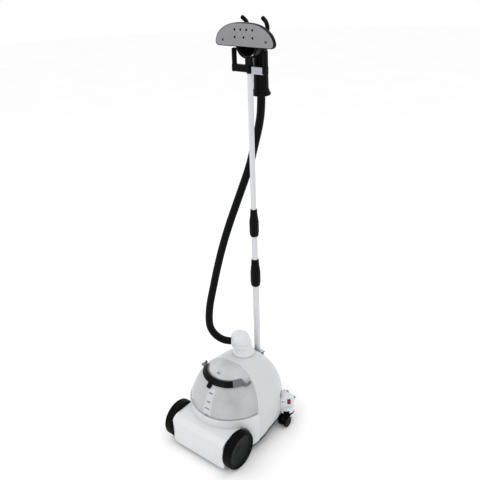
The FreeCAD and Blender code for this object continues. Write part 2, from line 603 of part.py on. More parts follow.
def make_pole():
    bore_r = LOWER_R + 0.1
    flange = [(bore_r, 212), (27, 212), (26.5, 222), (25.2, 232), (25, SOCKET_TOP - 3), (22.5, SOCKET_TOP),
              (bore_r, SOCKET_TOP)]
    socket = revolve(flange, 0, POLE_Y).fuse(tube(20, bore_r, 60, 0, POLE_Y, 160))
    socket = socket.cut(box(14, 30, POLE_Y - 4.2, POLE_Y + 4.2, SOCKET_TOP - 14, SOCKET_TOP + 5))
    pin_hole = cyl(1.5 + RUN, 18, 18.5, POLE_Y - 9, LEVER_Z, Y_AXIS)
    socket = socket.cut(pin_hole)
    PARTS["pole_socket"] = socket
    lever = box(15.2, 21, POLE_Y - 3.8, POLE_Y + 3.8, LEVER_Z - 6, LEVER_Z + 3)
    arm = box(17, 20.5, POLE_Y - 3.8, POLE_Y + 3.8, LEVER_Z, LEVER_Z + 24)
    arm = turned(arm, 32, 18.5, POLE_Y, LEVER_Z, Y_AXIS)
    pin = cyl(1.5, 17, 18.5, POLE_Y - 8.5, LEVER_Z, Y_AXIS)
    PARTS["pole_lever"] = fuse_all([lever, arm, pin])
    PARTS["lower_tube"] = tube(LOWER_R, MIDDLE_R + RUN, LOWER_TOP - TUBE_FOOT, 0, POLE_Y, TUBE_FOOT)
    PARTS["middle_tube"] = tube(MIDDLE_R, UPPER_R + RUN, MIDDLE_TOP - MIDDLE_FOOT, 0, POLE_Y, MIDDLE_FOOT)
    PARTS["upper_tube"] = tube(UPPER_R, UPPER_R - TUBE_WALL, UPPER_TOP - UPPER_FOOT, 0, POLE_Y, UPPER_FOOT)
    PARTS["lower_lock"] = lock_body(LOCK_LOW[0], LOCK_LOW[1], LOWER_R, MIDDLE_R, LOWER_TOP)
    PARTS["upper_lock"] = lock_body(LOCK_HIGH[0], LOCK_HIGH[1], MIDDLE_R, UPPER_R, MIDDLE_TOP)


# ---- bracket on top of the pole ----

def make_bracket():
    cross = box(-64, 64, POLE_Y - 8, POLE_Y + 8, 1286, 1308)
    cross = cross.makeFillet(3, [e for e in cross.Edges if e.Length > 100])
    pieces = [cross]
    for side in (1, -1):
        prong = box(side * 59 - 6, side * 59 + 6, POLE_Y - 8, POLE_Y + 8, 1286, 1356)
        prong = prong.makeFillet(4.5, [e for e in prong.Edges if e.BoundBox.ZMin > 1355 or e.Length > 60])
        pieces.append(prong)
    pieces.append(cyl(10.5, 50, 0, POLE_Y, 1284))
    pieces.append(box(-7, 7, POLE_Y - 14, POLE_Y - 4, 1290, 1332))
    for side in (1, -1):
        route = [(side * x, y, z) for x, y, z in HORN_ROUTE]
        pieces.append(smooth_tube(route, HORN_R)[0])
        pieces.append(Part.makeSphere(HORN_R, V(*route[-1])))
    cup = tube(CRADLE_R, CRADLE_R - 4, 20, 0, CRADLE_Y0, CRADLE_Z, Y_AXIS)
    pieces.append(cup.common(box(-60, 60, 100, 200, 1200, CRADLE_Z)))
    bracket = fuse_all(pieces)
    bracket = bracket.cut(cyl(UPPER_R + 0.02, 13, 0, POLE_Y, 1284))
    PARTS["pole_bracket"] = bracket
    sleeve = box(13, 52.6, POLE_Y - 10, POLE_Y + 10, 1284, 1306)
    sleeve = sleeve.makeFillet(2.5, [e for e in sleeve.Edges if 39 < e.Length < 40])
    PARTS["bracket_sleeve"] = sleeve.cut(bracket)


# ---- steam head ----

def plate_face(grow, y):
    """The plate's outline: flat bottom, rounded lower corners and a low arched top, mirrored about x = 0."""
    right = [V(x + grow, y, z + grow * 0.5) for x, z in PLATE_OUTLINE[:-1]]
    top = V(0, y, PLATE_OUTLINE[-1][1] + grow)
    left = [V(-p.x, y, p.z) for p in reversed(right)]
    arch = Part.BSplineCurve()
    arch.interpolate(right + [top] + left)
    low = PLATE_BOTTOM - grow
    corner = 96.0 + grow
    edges = [
        arch.toShape(),
        Part.Arc(left[-1], V(-corner - 7.0, y, low + 3.2), V(-corner, y, low)).toShape(),
        Part.makeLine(V(-corner, y, low), V(corner, y, low)),
        Part.Arc(V(corner, y, low), V(corner + 7.0, y, low + 3.2), right[0]).toShape(),
    ]
    return Part.Face(Part.Wire(Part.__sortEdges__(edges)))


def make_head():
    plate = plate_face(0.0, PLATE_Y).extrude(V(0, 3, 0))
    for x, z in STEAM_HOLES:
        plate = plate.cut(cyl(3.6, 10, x, PLATE_Y - 3, z, Y_AXIS))
    for x, z in PLATE_SCREWS:
        plate = plate.cut(cyl(2.1, 10, x, PLATE_Y - 3, z, Y_AXIS))
    PARTS["steam_plate"] = plate
    gasket = plate_face(-4.0, PLATE_Y + 3.05).extrude(V(0, 1.4, 0))
    gasket = gasket.cut(plate_face(-9.0, PLATE_Y + 2).extrude(V(0, 5, 0)))
    PARTS["plate_gasket"] = gasket
    body = plate_face(2.2, PLATE_Y + 1.2).extrude(V(0, 11, 0))
    body = body.cut(plate_face(0.2, PLATE_Y).extrude(V(0, 4.5, 0)))
    chest = plate_face(-9.0, PLATE_Y).extrude(V(0, 9, 0))
    for x, z in PLATE_SCREWS:
        chest = chest.cut(cyl(6, 20, x, PLATE_Y - 3, z, Y_AXIS))
    body = body.cut(chest)
    for x, z in PLATE_SCREWS:
        body = body.cut(cyl(1.7, 7, x, PLATE_Y + 2, z, Y_AXIS))
    back_y = PLATE_Y + 12.2
    body = body.cut(cyl(9, 20, 0, back_y - 8, CRADLE_Z + 6, Y_AXIS))
    PARTS["head_body"] = body
    screws = []
    for x, z in PLATE_SCREWS:
        head = cyl(3.4, 1.2, x, PLATE_Y - 1.2, z, Y_AXIS)
        screws.append(cyl(1.65, 9.5, x, PLATE_Y - 1.2, z, Y_AXIS).fuse(head))
    PARTS["plate_screws"] = Part.makeCompound(screws)

    neck = Part.makeCone(35.5, GRIP_R, 32, V(0, back_y + 0.05, CRADLE_Z), Y_AXIS)
    bend = HANDLE_Y - back_y - 32.05
    section = Part.Face(Part.Wire(Part.makeCircle(GRIP_R, V(0, back_y + 32.05, CRADLE_Z), Y_AXIS)))
    elbow = section.revolve(V(0, back_y + 32.05, CRADLE_Z - bend), X_AXIS, -90)
    grip = Part.makeCone(GRIP_R + 1, GRIP_R, CRADLE_Z - bend - 1229, V(0, HANDLE_Y, 1229), Z_AXIS)
    hollow_face = Part.Face(Part.Wire(Part.makeCircle(GRIP_R - WALL, V(0, back_y + 32.05, CRADLE_Z), Y_AXIS)))
    hollow = hollow_face.revolve(V(0, back_y + 32.05, CRADLE_Z - bend), X_AXIS, -90)
    hollow_neck = Part.makeCone(32, GRIP_R - WALL, 32.05, V(0, back_y, CRADLE_Z), Y_AXIS)
    inner_r = GRIP_R - WALL
    hollow_grip = Part.makeCone(inner_r + 1, inner_r, CRADLE_Z - bend - 1228, V(0, HANDLE_Y, 1228), Z_AXIS)
    handle = neck.fuse(elbow).fuse(grip)
    handle = cut_all(handle, [hollow_neck, hollow, hollow_grip])
    PARTS["handle_left"] = handle.common(box(-100, 0, 0, 400, 1000, 1600))
    PARTS["handle_right"] = handle.common(box(0, 100, 0, 400, 1000, 1600))
    tube_y = HANDLE_Y - 12
    route = [(0, back_y - 4, CRADLE_Z + 6), (0, tube_y - 12, CRADLE_Z + 6), (0, tube_y, CRADLE_Z - 6),
             (0, tube_y, 1230)]
    PARTS["head_steam_tube"] = smooth_tube(route, 7.5)[0]
    top = COLLAR_Z + 21.9
    outline = [(14, COLLAR_Z), (29.5, COLLAR_Z), (31, COLLAR_Z + 6), (27.0, COLLAR_Z + 14),
               (GRIP_R + 0.8, top), (0, top), (0, COLLAR_Z + 8), (14, COLLAR_Z + 8)]
    PARTS["hose_collar"] = revolve(outline, 0, HANDLE_Y)


# ---- steam hose ----

def make_hose():
    for name, route in (("steam_hose_top", UPPER_ROUTE), ("steam_hose", LOWER_ROUTE)):
        solid, length, radii = smooth_tube(route, HOSE_R)
        PARTS[name] = solid
        print(name, "length", round(length, 1), "smallest bend radius", round(min(radii), 1))


def main():
    make_housing()
    make_chassis()
    make_wheels()
    for side, name in ((1, "right"), (-1, "left")):
        make_caster(side, name)
    make_pods()
    make_tank()
    make_tank_handle()
    make_outlet()
    make_boiler()
    make_pole()
    make_bracket()
    make_head()
    make_hose()
    os.makedirs("parts", exist_ok=True)
    for name, shape in PARTS.items():
        shape.exportStep("parts/" + name + ".step")
    print(len(PARTS), "nodes")


main()
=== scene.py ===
# %% [markdown]
# # A garment steamer
# A garment steamer stands on two large wheels and two casters. A boiler sits in its base, a lift-out tank
# feeds it, and a hose takes the steam up to a flat head that rests in a cradle on a telescopic pole. Every
# mechanical part comes from a frame that already has the right size. This script gives each one its
# surface, its edges and its small details.

# %% Load the frame
import math

import bmesh
import bpy
from mathutils import Matrix, Vector


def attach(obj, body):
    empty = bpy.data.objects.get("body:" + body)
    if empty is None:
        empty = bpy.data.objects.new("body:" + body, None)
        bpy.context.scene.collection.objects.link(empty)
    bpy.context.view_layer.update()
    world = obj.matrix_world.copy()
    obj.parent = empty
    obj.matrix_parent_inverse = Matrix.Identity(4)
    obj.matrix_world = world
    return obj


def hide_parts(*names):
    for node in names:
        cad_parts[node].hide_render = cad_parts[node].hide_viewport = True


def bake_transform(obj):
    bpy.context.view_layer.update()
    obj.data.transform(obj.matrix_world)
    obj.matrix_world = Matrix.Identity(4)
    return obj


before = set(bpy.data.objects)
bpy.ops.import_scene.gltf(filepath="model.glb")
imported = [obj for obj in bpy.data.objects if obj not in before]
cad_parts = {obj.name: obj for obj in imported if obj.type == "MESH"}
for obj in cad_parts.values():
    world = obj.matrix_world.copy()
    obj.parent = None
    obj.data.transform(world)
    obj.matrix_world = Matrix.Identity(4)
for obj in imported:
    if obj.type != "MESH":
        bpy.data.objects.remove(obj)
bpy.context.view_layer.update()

MM = 0.001
POLE_Y = 142.0
GRIP_Y = 198.0
CASTER_X = 158.0
CASTER_AXLE = (93.0, 19.5)
WHEEL_AXLE = (-161.0, 68.0)
WHEEL_INNER_X = 117.0

# %% [markdown]
# ## Camera
# The object is seen from its front right and from above, with a moderate lens. A camera needs a place, a
# direction and a roll. Building the rotation from three axes keeps the slight roll exact, which Euler
# angles typed by hand seldom do.

# %% Place the camera
CAMERA_PLACE = (1.1358, -1.3426, 1.6353)
YAW = math.radians(38.96)
PITCH = math.radians(26.14)
ROLL = math.radians(-2.23)


def camera_axes(yaw, pitch, roll):
    """Right, up and backward directions of a camera turned to the left by yaw and down by pitch."""
    forward = Vector((-math.sin(yaw) * math.cos(pitch), math.cos(yaw) * math.cos(pitch), -math.sin(pitch)))
    level = Vector((math.cos(yaw), math.sin(yaw), 0.0))
    raised = level.cross(forward)
    right = level * math.cos(roll) + raised * math.sin(roll)
    up = raised * math.cos(roll) - level * math.sin(roll)
    return right, up, -forward


camera = bpy.data.objects.new("camera", bpy.data.cameras.new("camera"))
bpy.context.scene.collection.objects.link(camera)
camera.data.sensor_width = 36.0
camera.data.lens = 45.0
right, up, backward = camera_axes(YAW, PITCH, ROLL)
camera.matrix_world = Matrix.Translation(CAMERA_PLACE) @ Matrix((right, up, backward)).transposed().to_4x4()
bpy.context.scene.camera = camera
print("camera looks along", [round(-c, 3) for c in backward])

# %% [markdown]
# ## Nodes and colours
# Every finish below is a small network of shader nodes. One helper adds a node, sets it and links it, and
# one turns a screen colour into the linear colour that the shader works in.

# %% Helpers for materials


def linear(hex_code):
    """A screen colour such as #E6E7E9 as linear red, green, blue and alpha."""
    channels = [int(hex_code[i:i + 2], 16) / 255 for i in (1, 3, 5)]
    return [c / 12.92 if c <= 0.04045 else ((c + 0.055) / 1.055) ** 2.4 for c in channels] + [1.0]


def add_node(tree, kind, settings=None, inputs=None, links=None):
    """Add one node, with its settings, its input values and its incoming links."""
    node = tree.nodes.new(kind)
    for name, value in (settings or {}).items():
        setattr(node, name, value)
    for name, value in (inputs or {}).items():
        node.inputs[name].default_value = value
    for name, source in (links or {}).items():
        tree.links.new(source, node.inputs[name])
    return node


def new_material(name):
    """An empty node material, its tree and the object coordinates that its patterns read."""
    material = bpy.data.materials.new(name)
    material.use_nodes = True
    material.node_tree.nodes.clear()
    place = add_node(material.node_tree, "ShaderNodeTexCoord")
    return material, material.node_tree, place.outputs["Object"]


def per_metre(size_mm):
    """The scale of a pattern whose features are size_mm wide."""
    return 1000.0 / size_mm


# %% [markdown]
# ## Moulded plastic
# ABS covers almost the whole base: glossy and white on the deck and the outlet, satin on the side shells. A
# moulding is never one flat colour. It has very faint clouds from the flow of the plastic, a fine texture
# from the tool that blurs reflections, and edges that hands and floors have rubbed a little. The cloud is
# about 120 mm wide. The tool's real grain is near 0.1 mm, too fine to show, so it is drawn at about 1 mm.

# %% Moulded plastics


def moulded_plastic(name, colour, cloud_colour, worn_colour, roughness, grain_mm, grain_height_mm,
                    sheen=0.5):
    material, tree, place = new_material(name)
    cloud = add_node(tree, "ShaderNodeTexNoise", inputs={"Scale": per_metre(120), "Detail": 3.0},
                     links={"Vector": place})
    tone = add_node(tree, "ShaderNodeMix", {"data_type": "RGBA"},
                    {"A": linear(colour), "B": linear(cloud_colour)}, {"Factor": cloud.outputs["Fac"]})
    shape = add_node(tree, "ShaderNodeNewGeometry")
    edge = add_node(tree, "ShaderNodeMapRange",
                    inputs={"From Min": 0.53, "From Max": 0.62, "To Min": 0.0, "To Max": 0.6},
                    links={"Value": shape.outputs["Pointiness"]})
    worn = add_node(tree, "ShaderNodeMix", {"data_type": "RGBA"}, {"B": linear(worn_colour)},
                    {"Factor": edge.outputs["Result"], "A": tone.outputs["Result"]})
    grain = add_node(tree, "ShaderNodeTexNoise", inputs={"Scale": per_metre(grain_mm), "Detail": 2.0},
                     links={"Vector": place})
    gloss = add_node(tree, "ShaderNodeMapRange",
                     inputs={"To Min": roughness - 0.05, "To Max": roughness + 0.07},
                     links={"Value": cloud.outputs["Fac"]})
    relief = add_node(tree, "ShaderNodeBump", inputs={"Strength": 0.5, "Distance": grain_height_mm * MM},
                      links={"Height": grain.outputs["Fac"]})
    surface = add_node(tree, "ShaderNodeBsdfPrincipled", inputs={"IOR": 1.53, "Specular IOR Level": sheen},
                       links={"Base Color": worn.outputs["Result"], "Roughness": gloss.outputs["Result"],
                              "Normal": relief.outputs["Normal"]})
    add_node(tree, "ShaderNodeOutputMaterial", links={"Surface": surface.outputs["BSDF"]})
    return material


WHITE_ABS = moulded_plastic("glossy_white_abs", "#D6D7DA", "#D0D1D5", "#E2E3E5", 0.22, 1.4, 0.02)
# The shells' satin white is set greyer than the deck's glossy white: the satin is real, the extra grey is
# painted shade.
SHADED_SATIN_ABS = moulded_plastic("satin_white_abs_painted_shade", "#CBCCCE", "#C5C6C9", "#DADADC", 0.32, 1.2, 0.03)
BLACK_NYLON = moulded_plastic("black_moulded_nylon", "#040405", "#070708", "#121315", 0.34, 0.9, 0.05, 0.07)
PAN_BLACK = moulded_plastic("black_moulded_pan", "#030404", "#060607", "#0C0D0E", 0.5, 1.1, 0.06, 0.05)
GREY_NYLON = moulded_plastic("grey_moulded_nylon", "#68696C", "#606266", "#7C7E82", 0.4, 0.9, 0.04, 0.25)
PALE_NYLON = moulded_plastic("pale_grey_nylon", "#A9AAAD", "#A1A2A6", "#B8B9BB", 0.4, 0.9, 0.04, 0.35)
HUB_NYLON = moulded_plastic("dark_moulded_hub", "#0D1010", "#111414", "#1E2222", 0.42, 1.0, 0.05, 0.1)
CASTER_NYLON = moulded_plastic("hard_black_roller", "#030505", "#060808", "#101314", 0.34, 1.0, 0.04, 0.07)
SWITCH_RED = moulded_plastic("red_polycarbonate", "#7E1218", "#6C0C12", "#A0222A", 0.18, 1.0, 0.01, 0.4)
LENS_DARK = moulded_plastic("dark_signal_lens", "#1C0E10", "#160B0D", "#2C181B", 0.14, 1.0, 0.01)
print(len(bpy.data.materials), "plastics so far")

# %% [markdown]
# ## Smoky tank plastic
# The tank is a translucent styrene moulding. Light goes a little way in and comes out greyer, and the
# surface still mirrors the room softly. A part of transmission over a grey base gives that. Full glass
# would show the valve far too clearly. The grey is also mixed darker from the tank's foot towards its
# top, in faint clouds: that darkening is painted shade.

# %% Smoky translucent plastic


def smoky_plastic(name, colour, shade_and_cloud_colour, roughness, clearness):
    material, tree, place = new_material(name)
    cloud = add_node(tree, "ShaderNodeTexNoise", inputs={"Scale": per_metre(90), "Detail": 3.0},
                     links={"Vector": place})
    height = add_node(tree, "ShaderNodeSeparateXYZ", links={"Vector": place})
    # Painted shade: the mix towards the darker grey grows from the tank's foot to its top.
    depth = add_node(tree, "ShaderNodeMapRange",
                     inputs={"From Min": 0.155, "From Max": 0.262, "To Min": 0.25, "To Max": 0.85},
                     links={"Value": height.outputs["Z"]})
    drift = add_node(tree, "ShaderNodeMapRange", inputs={"From Min": 0.36, "From Max": 0.64},
                     links={"Value": cloud.outputs["Fac"]})
    cloud_times_painted_shade = add_node(tree, "ShaderNodeMath", {"operation": "MULTIPLY"},
                     links={0: drift.outputs["Result"], 1: depth.outputs["Result"]})
    tone = add_node(tree, "ShaderNodeMix", {"data_type": "RGBA"},
                    {"A": linear(colour), "B": linear(shade_and_cloud_colour)}, {"Factor": cloud_times_painted_shade.outputs["Value"]})
    ripple = add_node(tree, "ShaderNodeTexNoise", inputs={"Scale": per_metre(2.0), "Detail": 1.0},
                      links={"Vector": place})
    relief = add_node(tree, "ShaderNodeBump", inputs={"Strength": 0.3, "Distance": 0.02 * MM},
                      links={"Height": ripple.outputs["Fac"]})
    surface = add_node(tree, "ShaderNodeBsdfPrincipled",
                       inputs={"IOR": 1.57, "Roughness": roughness, "Transmission Weight": clearness},
                       links={"Base Color": tone.outputs["Result"], "Normal": relief.outputs["Normal"]})
    add_node(tree, "ShaderNodeOutputMaterial", links={"Surface": surface.outputs["BSDF"]})
    return material


TANK_SMOKE = smoky_plastic("smoky_styrene", "#C6C8CA", "#9FA2A5", 0.24, 0.2)
DOME_SMOKE = smoky_plastic("smoky_styrene_dome", "#CBCCCF", "#B4B6B9", 0.26, 0.12)
STRIP_CLEAR = smoky_plastic("clear_styrene_strip", "#CFD1D4", "#C6C8CB", 0.2, 0.15)

# %% [markdown]
# ## Rubber
# Tyres and seals are moulded rubber: nearly black, with a broad soft sheen. Dust sits in the pattern and
# makes it slightly greyer in patches of about 25 mm. The fine bump is 0.8 mm, a coarse stand-in for a matt
# mould.

# %% Rubber


def moulded_rubber(name, colour, dusty_colour, roughness):
    material, tree, place = new_material(name)
    dust = add_node(tree, "ShaderNodeTexNoise", inputs={"Scale": per_metre(25), "Detail": 5.0},
                    links={"Vector": place})
    patch = add_node(tree, "ShaderNodeMapRange", inputs={"From Min": 0.45, "From Max": 0.8},
                     links={"Value": dust.outputs["Fac"]})
    tone = add_node(tree, "ShaderNodeMix", {"data_type": "RGBA"},
                    {"A": linear(colour), "B": linear(dusty_colour)}, {"Factor": patch.outputs["Result"]})
    pimple = add_node(tree, "ShaderNodeTexNoise", inputs={"Scale": per_metre(0.8), "Detail": 2.0},
                      links={"Vector": place})
    relief = add_node(tree, "ShaderNodeBump", inputs={"Strength": 0.4, "Distance": 0.06 * MM},
                      links={"Height": pimple.outputs["Fac"]})
    surface = add_node(tree, "ShaderNodeBsdfPrincipled",
                       inputs={"IOR": 1.52, "Roughness": roughness, "Specular IOR Level": 0.06},
                       links={"Base Color": tone.outputs["Result"], "Normal": relief.outputs["Normal"]})
    add_node(tree, "ShaderNodeOutputMaterial", links={"Surface": surface.outputs["BSDF"]})
    return material


TYRE_RUBBER = moulded_rubber("moulded_tyre_rubber", "#030303", "#070708", 0.5)
SEAL_RUBBER = moulded_rubber("seal_rubber", "#0A0A0B", "#101112", 0.62)

# %% [markdown]
# ## Metals
# The pole is steel tube under a pale silver paint: bright, with a sharp highlight along it. The steam plate
# is aluminium that was bead blasted, so it is grey and matt with a fine sparkle. Screws, springs and the
# axle are bright steel. Blasting pits are about 0.2 mm, drawn here at 0.7 mm so that they show.

# %% Metals


def metal(name, colour, dark_colour, metallic, roughness, grain_mm, grain_height_mm):
    material, tree, place = new_material(name)
    grain = add_node(tree, "ShaderNodeTexNoise", inputs={"Scale": per_metre(grain_mm), "Detail": 3.0},
                     links={"Vector": place})
    stain = add_node(tree, "ShaderNodeTexNoise", inputs={"Scale": per_metre(60), "Detail": 4.0},
                     links={"Vector": place})
    tone = add_node(tree, "ShaderNodeMix", {"data_type": "RGBA"},
                    {"A": linear(colour), "B": linear(dark_colour)}, {"Factor": stain.outputs["Fac"]})
    gloss = add_node(tree, "ShaderNodeMapRange",
                     inputs={"To Min": roughness - 0.06, "To Max": roughness + 0.06},
                     links={"Value": stain.outputs["Fac"]})
    relief = add_node(tree, "ShaderNodeBump", inputs={"Strength": 0.5, "Distance": grain_height_mm * MM},
                      links={"Height": grain.outputs["Fac"]})
    surface = add_node(tree, "ShaderNodeBsdfPrincipled", inputs={"Metallic": metallic},
                       links={"Base Color": tone.outputs["Result"], "Roughness": gloss.outputs["Result"],
                              "Normal": relief.outputs["Normal"]})
    add_node(tree, "ShaderNodeOutputMaterial", links={"Surface": surface.outputs["BSDF"]})
    return material


POLE_PAINT = metal("silver_painted_steel", "#D2D3D5", "#C8C9CC", 0.2, 0.22, 1.0, 0.004)
PLATE_METAL = metal("bead_blasted_aluminium", "#97979A", "#8B8B8E", 1.0, 0.5, 0.7, 0.05)
BRIGHT_STEEL = metal("bright_steel", "#A2A3A6", "#909195", 1.0, 0.3, 0.8, 0.01)
SCREW_STEEL = metal("dark_screw_steel", "#57585C", "#4B4C50", 1.0, 0.35, 0.8, 0.01)
CAST_METAL = metal("cast_aluminium", "#A5A6A8", "#8F9092", 1.0, 0.5, 2.0, 0.1)

# %% [markdown]
# ## Woven sleeve
# The hose is a rubber tube in a tight polyester braid, so it looks black and slightly silky. Two sets of
# strands cross at an angle round the tube. The pattern follows the tube's own UV map: 22 strands lie round
# it, and a strand repeats every 4 mm along it, about twice the real pitch so that it can be seen.

# %% Braided sleeve
STRANDS_ROUND = 22.0
STRAND_PITCH_MM = 4.0


def braided_sleeve(name, length_mm):
    material, tree, _place = new_material(name)
    weave_map = add_node(tree, "ShaderNodeUVMap")
    split = add_node(tree, "ShaderNodeSeparateXYZ", links={"Vector": weave_map.outputs["UV"]})
    along = add_node(tree, "ShaderNodeMath", {"operation": "MULTIPLY"},
                     {1: 2 * math.pi * length_mm / STRAND_PITCH_MM}, {0: split.outputs["X"]})
    around = add_node(tree, "ShaderNodeMath", {"operation": "MULTIPLY"},
                      {1: 2 * math.pi * STRANDS_ROUND}, {0: split.outputs["Y"]})
    strands = []
    for operation in ("ADD", "SUBTRACT"):
        slant = add_node(tree, "ShaderNodeMath", {"operation": operation},
                         links={0: along.outputs["Value"], 1: around.outputs["Value"]})
        strands.append(add_node(tree, "ShaderNodeMath", {"operation": "SINE"},
                                links={0: slant.outputs["Value"]}))
    weave = add_node(tree, "ShaderNodeMath", {"operation": "MAXIMUM"},
                     links={0: strands[0].outputs["Value"], 1: strands[1].outputs["Value"]})
    thread = add_node(tree, "ShaderNodeMapRange", inputs={"From Min": -0.4, "From Max": 1.0},
                      links={"Value": weave.outputs["Value"]})
    tone = add_node(tree, "ShaderNodeMix", {"data_type": "RGBA"},
                    {"A": linear("#020202"), "B": linear("#090A0B")}, {"Factor": thread.outputs["Result"]})
    relief = add_node(tree, "ShaderNodeBump", inputs={"Strength": 0.6, "Distance": 0.25 * MM},
                      links={"Height": thread.outputs["Result"]})
    surface = add_node(tree, "ShaderNodeBsdfPrincipled",
                       inputs={"Roughness": 0.5, "Specular IOR Level": 0.07, "Sheen Weight": 0.015},
                       links={"Base Color": tone.outputs["Result"], "Normal": relief.outputs["Normal"]})
    add_node(tree, "ShaderNodeOutputMaterial", links={"Surface": surface.outputs["BSDF"]})
    return material


# %% [markdown]
# ## Helpers for pieces
# A new piece starts as a bmesh, becomes an object at the origin, and then rides on the body that it moves
# with. Turned pieces, such as wheels and locks, come from an outline that is spun round an axis.

# %% Make, turn and place pieces


def show(name, bm, material, body, stands_for=(), smooth_angle=40.0):
    """Turn a bmesh into a finished object that rides on a body and may stand for frame nodes."""
    mesh = bpy.data.meshes.new(name)
    bm.to_mesh(mesh)
    bm.free()
    mesh.polygons.foreach_set("use_smooth", [True] * len(mesh.polygons))
    mesh.set_sharp_from_angle(angle=math.radians(smooth_angle))
    mesh.materials.append(material)
    piece = bpy.data.objects.new(name, mesh)
    bpy.context.scene.collection.objects.link(piece)
    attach(piece, body)
    if stands_for:
        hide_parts(*stands_for)
    return piece


def turned(outline, centre, axis, steps=96):
    """Spin a (radius, distance along the axis) outline, both in mm, round an axis through centre."""
    axis = Vector(axis).normalized()
    side = axis.orthogonal().normalized()
    bm = bmesh.new()
    verts = [bm.verts.new(Vector(centre) * MM + (side * r + axis * d) * MM) for r, d in outline]
    edges = [bm.edges.new(pair) for pair in zip(verts, verts[1:])]
    bmesh.ops.spin(bm, geom=verts + edges, cent=Vector(centre) * MM, axis=axis, angle=2 * math.pi,
                   steps=steps, use_merge=True)
    bmesh.ops.remove_doubles(bm, verts=bm.verts, dist=0.001 * MM)
    bmesh.ops.recalc_face_normals(bm, faces=bm.faces)
    return bm


def rounded(points, radius_mm, steps=4):
    """Round every inner corner of an outline with a small arc."""
    out = [points[0]]
    for before, here, after in zip(points, points[1:], points[2:]):
        a = Vector(before) - Vector(here)
        b = Vector(after) - Vector(here)
        cut = min(radius_mm, 0.45 * a.length, 0.45 * b.length)
        start = Vector(here) + a.normalized() * cut
        end = Vector(here) + b.normalized() * cut
        for k in range(steps + 1):
            t = k / steps
            out.append(tuple(start * (1 - t) ** 2 + Vector(here) * 2 * t * (1 - t) + end * t * t))
    return out + [points[-1]]


def skin_of(node, material, body, round_mm=0.0, smooth_angle=32.0):
    """A joined-up, smoothly shaded copy of a frame node, with its sharp edges rounded."""
    bm = bmesh.new()
    bm.from_mesh(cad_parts[node].data)
    bmesh.ops.remove_doubles(bm, verts=bm.verts, dist=0.003 * MM)
    piece = show(node + "_skin", bm, material, body, (node,), smooth_angle)
    if round_mm:
        rim = piece.modifiers.new("rounded edges", "BEVEL")
        rim.width = round_mm * MM
        rim.segments = 2
        rim.limit_method = "ANGLE"
        rim.angle_limit = math.radians(smooth_angle)
    shading = piece.modifiers.new("even shading", "WEIGHTED_NORMAL")
    shading.keep_sharp = True
    return piece


# %% [markdown]
# ## Steam hose
# The hose hangs from the grip's collar, passes behind the pole and swings round to the outlet on the base.
# It is one smooth line, so a NURBS curve guided by a few given points is the right tool. The curve
# becomes a mesh tube because its lower length must stretch between two bodies when the pole slides.

# %% Hose
HOSE_R_MM = 13.5
UPPER_ROUTE = [
    (0.0, 0.198, 1.2145), (-0.0015, 0.1985, 1.160), (-0.011, 0.1975, 1.106), (-0.0232, 0.193, 1.054),
    (-0.0305, 0.1815, 1.006),
]
LOWER_ROUTE = [
    (-0.0305, 0.1815, 1.006), (-0.035975, 0.172875, 0.970), (-0.048, 0.150, 0.908), (-0.061, 0.124, 0.842),
    (-0.0744, 0.097, 0.772), (-0.0854, 0.071, 0.700), (-0.0933, 0.046, 0.625), (-0.098, 0.022, 0.550),
    (-0.1003, 0.001, 0.490), (-0.1004, -0.0082, 0.440), (-0.097, -0.0107, 0.4041), (-0.087, -0.0032, 0.3749),
    (-0.070, 0.009, 0.3524), (-0.0485, 0.02404, 0.340), (-0.0256, 0.04007, 0.340),
]


def nurbs_mesh(name, route, thickness):
    """The smooth line through a route as a mesh: a bare line, or a tube of that thickness."""
    curve = bpy.data.curves.new(name, "CURVE")
    curve.dimensions = "3D"
    curve.resolution_u = 12
    curve.bevel_depth = thickness
    curve.bevel_resolution = 10
    spline = curve.splines.new("NURBS")
    spline.points.add(len(route) - 1)
    for point, place in zip(spline.points, route):
        point.co = (*place, 1.0)
    spline.order_u = 3
    spline.use_endpoint_u = True
    holder = bpy.data.objects.new(name, curve)
    bpy.context.scene.collection.objects.link(holder)
    mesh = bpy.data.meshes.new_from_object(holder)
    bpy.data.objects.remove(holder)
    return mesh


def hose_piece(name, route):
    """A hose tube and its smooth path."""
    line = nurbs_mesh(name + "_line", route, 0.0)
    path = [vertex.co.copy() for vertex in line.vertices]
    length = sum((b - a).length for a, b in zip(path, path[1:]))
    mesh = nurbs_mesh(name, route, HOSE_R_MM * MM)
    mesh.materials.clear()
    mesh.materials.append(braided_sleeve(name + "_braid", length / MM))
    mesh.polygons.foreach_set("use_smooth", [True] * len(mesh.polygons))
    piece = bpy.data.objects.new(name, mesh)
    bpy.context.scene.collection.objects.link(piece)
    print(name, "is", round(length / MM), "mm long,", len(mesh.polygons), "faces,", len(mesh.uv_layers),
          "UV map")
    return piece, path


lower_hose, lower_path = hose_piece("steam_hose_lower", LOWER_ROUTE)
upper_hose, upper_path = hose_piece("steam_hose_upper", UPPER_ROUTE)
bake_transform(lower_hose)
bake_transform(upper_hose)
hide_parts("steam_hose")
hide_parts("steam_hose_top")

# %% [markdown]
# ## Studio
# The steamer stands in a white studio. The white room itself is the main light, so the shadows are faint.
# One large soft light above and in front adds broad highlights, and two weaker ones shape the left side and
# the top.

# %% Floor, light and background


def softbox(name, place, target, size, power):
    """A square area light that looks from one place at another."""
    light = bpy.data.objects.new(name, bpy.data.lights.new(name, "AREA"))
    bpy.context.scene.collection.objects.link(light)
    light.data.size = size
    light.data.energy = power
    light.location = place
    light.rotation_euler = (Vector(target) - Vector(place)).to_track_quat("-Z", "Y").to_euler()
    return light


softbox("key", (-0.6, -2.2, 2.9), (0, 0, 0.6), 1.8, 16.0)
softbox("left fill", (-2.4, 0.2, 1.8), (0, 0, 0.6), 1.6, 5.0)
softbox("top", (0.4, 0.6, 3.2), (0, 0, 0.6), 1.6, 7.0)

